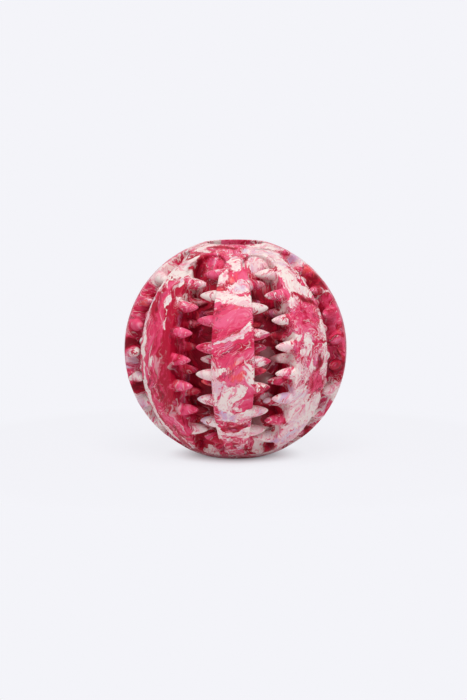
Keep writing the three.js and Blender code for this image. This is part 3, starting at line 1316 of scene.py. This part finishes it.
    def connect(self) -> None:
        """Joins the nodes from the place on the ball to the colour, the roughness and the relief."""
        g, ask = self.graph, self.ask
        self.at = self.places()
        torn = self.at[Place.TORN]
        body = g.noise(self.at[Place.FLOWING], self.body)[0]
        rags = g.less(g.noise(torn, self.rags)[0], NOISE_MIDDLE)
        comb = g.less(g.noise(self.at[Place.STREAKED], self.comb)[0], NOISE_MIDDLE)
        free = g.less(1.0, g.math("ABSOLUTE", ask["Pale"]))
        busy = g.plus(free, self.busy[1], self.busy[0])
        level = g.plus(rags, busy, g.plus(comb, busy, body))
        level = g.math("ADD", g.plus(ask["Pale"], self.pale_lift, level), ask["Paleness"])
        pale = g.climb(level, self.pale_edge)

        ragged = g.times(g.plus(ask["Pale"], self.pale_lift, body), self.turns[0])
        turns = g.plus(rags, self.turns[1], ragged)
        near = g.math("ABSOLUTE", g.less(g.math("FRACT", turns), HALFWAY))
        shown = g.climb(g.noise(torn, self.turns_shown[0])[0], self.turns_shown[1])
        shown = g.times(shown, g.plus(free, self.turns_free[1], self.turns_free[0]))
        # Darker tone and painted groove shade hide the white lines and streaks
        shallow_and_unshaded = g.less(1.0, ask["Deep_and_shade"])
        white_line = g.times(g.climb(near, self.white_line), shown, shallow_and_unshaded)
        red_line = g.times(g.less(1.0, g.climb(near, self.red_line)), shown)

        red = self.red(comb, free, shallow_and_unshaded)
        red = g.mix(white_line, g.mix(red_line, red, Dye.CRIMSON), Dye.POWDER)
        colour = g.mix(pale, red, self.light(comb, red_line))
        rim = g.times(g.climb(level, self.rim), g.less(1.0, pale))
        choice = g.climb(g.noise(torn, self.rim_choice[0])[1], self.rim_choice[1])
        colour = g.mix(rim, colour, g.mix(choice, Dye.CRIMSON, Dye.SHELL))

        pores = g.noise(ask["Place"], self.pores)[0]
        plain, by_pale, by_pores = self.roughness
        result = self.tree.nodes.new("NodeGroupOutput")
        g.put(colour, result.inputs["Colour"])
        g.put(g.plus(pores, by_pores, g.plus(pale, by_pale, plain)), result.inputs["Roughness"])
        by_pale, by_pores, by_comb = self.relief
        relief = g.plus(comb, by_comb, g.plus(pores, by_pores, g.times(pale, by_pale)))
        g.put(relief, result.inputs["Relief"])

    def red(self, comb: Socket, free: Socket, shallow_and_unshaded: Socket) -> Socket:
        """The red side of the marbling, with white hairs and streaks, and painted shade where the darkening
        value is high.

        Args:
            comb: The noise of the fine streaks, round 0.
            free: How little a blob leads here.
            shallow_and_unshaded: How little darker tone and painted groove shade there are; where they lie,
                white hairs and streaks are hidden.

        Returns:
            The colour.
        """
        g, ask = self.graph, self.ask
        tone = g.noise(self.at[Place.STREAKED], self.red_grain)[0]
        # The darkening value, painted groove shade among it, draws the red towards crimson
        tone = g.less(g.plus(ask["Deep_and_shade"], self.deep_and_shade_drop, tone), ask["Depth"])
        red = g.mix(g.climb(tone, self.red_ramp), Dye.CRIMSON, Dye.RASPBERRY)
        red = g.mix(g.climb(tone, self.rose_ramp), red, Dye.ROSE)
        red = self.tinted(red, self.red_tints)
        hair = self.thread(self.at[Place.TORN], *self.hair)
        hair = g.times(hair, g.plus(free, self.hair_shown[1], self.hair_shown[0]))
        streak = g.climb(g.plus(free, self.comb_free, comb), self.comb_white)
        return g.mix(g.times(g.math("MAXIMUM", hair, streak), shallow_and_unshaded), red, Dye.POWDER)

    def light(self, comb: Socket, red_line: Socket) -> Socket:
        """The pale side of the marbling, with rosy veins and flecks, in painted shade where the darkening
        value is high.

        Args:
            comb: The noise of the fine streaks, round 0.
            red_line: How much of a red contour line there is.

        Returns:
            The colour.
        """
        g = self.graph
        torn = self.at[Place.TORN]
        light = self.tinted(Dye.CREAM, self.pale_tints)
        vein = g.math("MAXIMUM", self.thread(torn, *self.vein), g.climb(comb, self.comb_rose))
        light = g.mix(g.times(vein, self.vein_top), light, Dye.ROSE)
        light = g.mix(g.times(red_line, self.red_line_top), light, Dye.RASPBERRY)
        fleck = g.climb(g.noise(torn, self.fleck[0])[0], self.fleck[1])
        light = g.mix(fleck, light, Dye.RASPBERRY)
        # Painted shade: the cream turns dusky as the darkening value rises
        return g.mix(g.climb(self.ask["Deep_and_shade"], Ramp(0.0, 1.0)), light, Dye.CREAM_SHADE)


@dataclass(frozen=True)
class RubberFinish:
    """One finish of the marbled rubber: the way its streaks run and how pale it is."""

    name: str
    flow: tuple[float, float, float] = (0.0, 0.0, 1.0)
    stretch: float = 1.0
    fineness: float = 1.0
    paleness: float = 0.0
    depth: float = 0.0
    bump_strength: float = 0.35
    bump_height: float = 0.12  # millimetres
    specular: float = 0.2

    def material(self, marbling: Marbling) -> bpy.types.Material:
        """Finds the finish's material, or makes it the first time.

        Args:
            marbling: The shared marbling group.

        Returns:
            The material.
        """
        if self.name in bpy.data.materials:
            return bpy.data.materials[self.name]
        material = bpy.data.materials.new(self.name)
        g = Graph.of(material)
        group = g.add("ShaderNodeGroup", node_tree=marbling.tree)
        place = g.add("ShaderNodeTexCoord").outputs["Object"]
        g.put(g.vector("SCALE", place, 1 / MM), group.inputs["Place"])
        length = math.hypot(*self.flow)
        g.put([v / length for v in self.flow], group.inputs["Flow"])
        for name in ("stretch", "fineness", "paleness", "depth"):
            g.put(getattr(self, name), group.inputs[name.capitalize()])
        for name in TONE_NAMES:
            tone = g.add("ShaderNodeAttribute", attribute_name=name)
            g.put(tone.outputs["Fac"], group.inputs[name.capitalize()])
        bump = g.add("ShaderNodeBump")
        g.put(self.bump_strength, bump.inputs["Strength"])
        g.put(self.bump_height * MM, bump.inputs["Distance"])
        g.put(group.outputs["Relief"], bump.inputs["Height"])
        rubber = g.add("ShaderNodeBsdfPrincipled")
        g.put(group.outputs["Colour"], rubber.inputs["Base Color"])
        g.put(group.outputs["Roughness"], rubber.inputs["Roughness"])
        g.put(bump.outputs["Normal"], rubber.inputs["Normal"])
        g.put(self.specular, rubber.inputs["Specular IOR Level"])
        g.add("ShaderNodeOutputMaterial", rubber.outputs[0])
        return material


# The ball's sub-assemblies


@dataclass(frozen=True)
class Copy:
    """One piece of a sub-assembly: its name, the solid that it stands for, its place and its finish."""

    piece: str
    node: str
    turn: Array
    finish: RubberFinish


@dataclass
class Section(ABC):
    """A sub-assembly of equal pieces, which is meshed once and placed round the ball's axis."""

    sizes: BallSizes = BALL
    cell: float = 0.42
    quick_cell: float = 0.8
    groove_azimuth: float = BALL.sector / 2  # where a groove's middle lies in the piece that is meshed
    first_azimuth: float = 0.0
    piece: str = ""
    node: str = ""
    slot: str = ""
    finishes: tuple[RubberFinish, ...] = ()
    built: list[tuple[Copy, bpy.types.Object]] = field(default_factory=list)

    @abstractmethod
    def distance(self, points: Array) -> Array:
        """Distances to the section where it faces -Y."""

    @abstractmethod
    def box(self) -> tuple[Array, Array]:
        """Corners of the space that the section takes."""

    def copies(self) -> list[Copy]:
        """Names the section's pieces.

        Returns:
            The pieces, anticlockwise from the first.
        """
        azimuths = [self.first_azimuth + i * self.sizes.sector for i in range(len(self.finishes))]
        return [
            Copy(f"{self.piece}_{i}", f"{self.node}_{i}", turned(azimuth), finish)
            for i, (azimuth, finish) in enumerate(zip(azimuths, self.finishes, strict=True), 1)
        ]

    @property
    def moulding(self) -> Moulding:
        """The moulding that the section is cut from."""
        return Moulding(self.sizes, self.groove_azimuth)

    def upright_box(self, angle: float, beyond: float = 0.0) -> tuple[Array, Array]:
        """The space of a section that faces -Y and runs from collar to collar.

        Args:
            angle: The angle that the section takes round the axis, in degrees.
            beyond: How much farther it reaches on each side.

        Returns:
            The space's lowest and highest corners.
        """
        s = self.sizes
        half = s.ball_radius * math.sin(math.radians(angle / 2)) + beyond
        seam_height = math.sqrt(s.ball_radius**2 - s.collar_radius**2)
        low = np.array([-half, -s.ball_radius, -seam_height])
        return low, np.array([half, -s.collar_radius / 2, seam_height])

    def build(self) -> None:
        """Meshes the section and places its pieces."""
        cell = self.cell
        template = Template(self.distance, self.box(), cell)
        self.built = [(copy, template.placed(copy.piece, copy.turn)) for copy in self.copies()]

    def dress(self, marbling: Marbling) -> None:
        """Gives each piece its finish, puts it in place of its solid, and reports it.

        Args:
            marbling: The shared marbling group.
        """
        for copy, piece in self.built:
            piece.data.materials.append(copy.finish.material(marbling))
            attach(piece, BODY)
            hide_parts(copy.node)
            LOG.info("%s: %d faces, %s", copy.piece, len(piece.data.polygons), copy.finish.name)


DIAGONAL = RubberFinish("rubber_diagonal", flow=(0.9, 0.0, 0.35), stretch=2.2, paleness=-0.02)
SWIRLED = RubberFinish("rubber_swirled", flow=(0.3, 0.0, 1.0), stretch=1.5, fineness=1.2, paleness=0.02)
LEVEL = RubberFinish("rubber_level", flow=(0.7, 0.7, 0.1), stretch=3.2, paleness=-0.02)
UPRIGHT = RubberFinish("rubber_upright", stretch=4.5, paleness=-0.02, depth=0.05)
GROOVE = RubberFinish("rubber_groove", stretch=1.5, paleness=-0.03, depth=0.04)
COLLAR = RubberFinish("rubber_collar", flow=(0.8, 0.5, 0.3), stretch=1.4, fineness=1.5, paleness=0.02)


@dataclass
class ToothedRibs(Section):
    """The upright ribs, each with two rows of teeth on both sides."""

    piece: str = "toothed_rib"
    node: str = "rib"
    slot: str = "rib_rubber"
    rows: tuple[ToothRow, ...] = TOOTH_ROWS
    fillet: float = OUTER_TOOTH.fillet
    far: float = 1.5  # teeth farther than this from a place don't count there
    finishes: tuple[RubberFinish, ...] = (
        DIAGONAL, SWIRLED, LEVEL, UPRIGHT, SWIRLED, DIAGONAL, LEVEL, UPRIGHT,
    )

    def teeth_distance(self, points: Array) -> Array:
        """Distances to the nearest tooth, measured only close to the teeth.

        Args:
            points: Places to measure from.

        Returns:
            The distances.
        """
        found = np.full(len(points), self.far)
        for tooth in (tooth for row in self.rows for tooth in row.teeth()):
            t = tooth.sizes
            reach = (t.length + t.root) / 2 + t.root_radius + self.far
            near = np.flatnonzero(((points - tooth.middle) ** 2).sum(1) < reach**2)
            found[near] = np.minimum(found[near], tooth.distance(points[near]))
        return found

    def distance(self, points: Array) -> Array:
        """Distances to the first rib with its teeth.

        Args:
            points: Places to measure from.

        Returns:
            The distances.
        """
        bar = self.moulding.slice(points, self.sizes.rib_angle)
        toothed = joined(bar, self.teeth_distance(points), self.fillet)
        return shared(toothed, self.moulding.between_collars(points))

    def box(self) -> tuple[Array, Array]:
        """Corners of the space that the rib takes."""
        return self.upright_box(self.sizes.rib_angle, OUTER_TOOTH.length)


@dataclass
class GrooveWebs(Section):
    """The floors and round ends of the grooves."""

    groove_azimuth: float = 0.0
    first_azimuth: float = BALL.sector / 2
    piece: str = "groove_web"
    node: str = "groove_floor"
    slot: str = "groove_rubber"
    finishes: tuple[RubberFinish, ...] = (GROOVE,) * BALL.rib_count

    def distance(self, points: Array) -> Array:
        """Distances to a web that faces -Y."""
        web = self.moulding.slice(points, self.sizes.groove_angle)
        return shared(web, self.moulding.between_collars(points))

    def box(self) -> tuple[Array, Array]:
        """Corners of the space that a web takes."""
        return self.upright_box(self.sizes.groove_angle)


@dataclass
class Collars(Section):
    """The rings from the ends of the ribs to the lands round the two mouths."""

    slot: str = "collar_rubber"

    def distance(self, points: Array) -> Array:
        """Distances to the upper collar."""
        ring = shared(self.moulding.body(points), -self.moulding.between_collars(points))
        return shared(ring, -points[:, 2])

    def box(self) -> tuple[Array, Array]:
        """Corners of the space that the upper collar takes."""
        half, s = self.sizes.collar_radius, self.sizes
        return np.array([-half, -half, s.hollow_radius / 2]), np.array([half, half, s.land_height])

    def copies(self) -> list[Copy]:
        """The upper collar, and the same one turned over."""
        upper = Copy("collar_top", "top_collar", turned(0), COLLAR)
        return [upper, Copy("collar_bottom", "bottom_collar", turned(0, over=True), COLLAR)]


# The studio


@dataclass
class Studio:
    """A plain pale floor, soft light, and the camera at the photograph's angle, in metres and degrees."""

    backdrop: tuple[float, ...] = srgb(244, 244, 249)
    sky_colour: tuple[float, ...] = (1.0, 0.99, 1.0, 1.0)
    sky_strength: float = 0.33
    floor_half: float = 3.0
    contact: Ramp = Ramp(0.004, 0.0235, 0.9)  # how the floor's shadow fades with distance from the ball
    horizon: Ramp = Ramp(0.0235, 0.110)  # how it fades into the backdrop farther out
    lamp_place: tuple[float, float, float] = (0.02, -0.42, 0.85)
    lamp_side: float = 0.6
    lamp_watts: float = 6.2
    camera_distance: float = 0.875
    camera_azimuth: float = 1.4
    camera_elevation: float = 7.3
    lens: float = 142.7
    sensor: float = 36.0
    shift: tuple[float, float] = (-0.0029, -0.0023)
    clip: tuple[float, float] = (0.01, 20.0)

    @property
    def ball_middle(self) -> Vector:
        """The ball's centre."""
        return Vector((0, 0, BALL.land_height * MM))

    @staticmethod
    def seen(graph: Graph) -> Socket:
        """Finds the rays that show the backdrop: the camera's, and those that gloss or glass sends on.

        Args:
            graph: The tree that asks.

        Returns:
            1 for such a ray, and 0 for the rest.
        """
        path = graph.add("ShaderNodeLightPath").outputs
        sent_on = graph.math("MAXIMUM", path["Is Glossy Ray"], path["Is Transmission Ray"])
        return graph.math("MAXIMUM", path["Is Camera Ray"], sent_on)

    def floor(self) -> None:
        """Lays the floor, which fades into the backdrop's colour far from the ball."""
        h = self.floor_half
        mesh = bpy.data.meshes.new("floor")
        mesh.from_pydata([(-h, -h, 0), (h, -h, 0), (h, h, 0), (-h, h, 0)], [], [(0, 1, 2, 3)])
        plane = new_object("floor", mesh)
        material = bpy.data.materials.new("floor_paper")
        g = Graph.of(material)
        paper = g.add("ShaderNodeBsdfDiffuse", self.backdrop)
        glow = g.add("ShaderNodeEmission", self.backdrop, 1.0)
        away = g.vector("LENGTH", g.add("ShaderNodeTexCoord").outputs["Object"])
        spread = g.math("MAXIMUM", g.climb(away, self.contact), g.climb(away, self.horizon))
        share = g.times(spread, self.seen(g))
        mixed = g.add("ShaderNodeMixShader", share, paper.outputs[0], glow.outputs[0])
        g.add("ShaderNodeOutputMaterial", mixed.outputs[0])
        mesh.materials.append(material)

    def sky(self) -> None:
        """Lights the ball evenly from all round; the camera sees the backdrop's colour instead."""
        world = bpy.data.worlds.new("studio")
        bpy.context.scene.world = world
        g = Graph.of(world)
        soft = g.add("ShaderNodeBackground", self.sky_colour, self.sky_strength)
        shown = g.add("ShaderNodeBackground", self.backdrop, 1.0)
        mixed = g.add("ShaderNodeMixShader", self.seen(g), soft.outputs[0], shown.outputs[0])
        g.add("ShaderNodeOutputWorld", mixed.outputs[0])

    def lamp(self) -> None:
        """Hangs a square soft lamp in front of and over the ball."""
        light = bpy.data.lights.new("overhead_softbox", "AREA")
        light.size = self.lamp_side
        light.energy = self.lamp_watts
        lamp = new_object("overhead_softbox", light)
        lamp.location = self.lamp_place
        aim = self.ball_middle - Vector(self.lamp_place)
        lamp.rotation_euler = aim.to_track_quat("-Z", "Y").to_euler()

    def camera(self) -> None:
        """Sets up the camera, aimed at the ball's middle."""
        lens = bpy.data.cameras.new("camera")
        lens.sensor_fit = "VERTICAL"
        lens.sensor_height = self.sensor
        lens.lens = self.lens
        lens.shift_x, lens.shift_y = self.shift
        lens.clip_start, lens.clip_end = self.clip
        camera = new_object("camera", lens)
        turn, rise = math.radians(self.camera_azimuth), math.radians(self.camera_elevation)
        level = math.cos(rise)
        way = Vector((math.sin(turn) * level, -math.cos(turn) * level, math.sin(rise)))
        camera.location = self.ball_middle + way * self.camera_distance
        camera.rotation_euler = (-way).to_track_quat("-Z", "Y").to_euler()
        bpy.context.scene.camera = camera

    def build(self) -> None:
        """Sets up the whole studio."""
        self.floor()
        self.sky()
        self.lamp()
        self.camera()
        bpy.context.scene.view_settings.view_transform = "Standard"
        LOG.info("studio: floor, sky, lamp and camera")


def main() -> None:
    """Builds the studio and the ball's sub-assemblies in order."""
    logging.basicConfig(level=logging.INFO, format="%(name)s: %(message)s")
    Studio().build()
    marbling = Marbling()
    for section in (ToothedRibs(), GrooveWebs(), Collars()):
        section.build()
        section.dress(marbling)


if __name__ == "__main__":
    main()
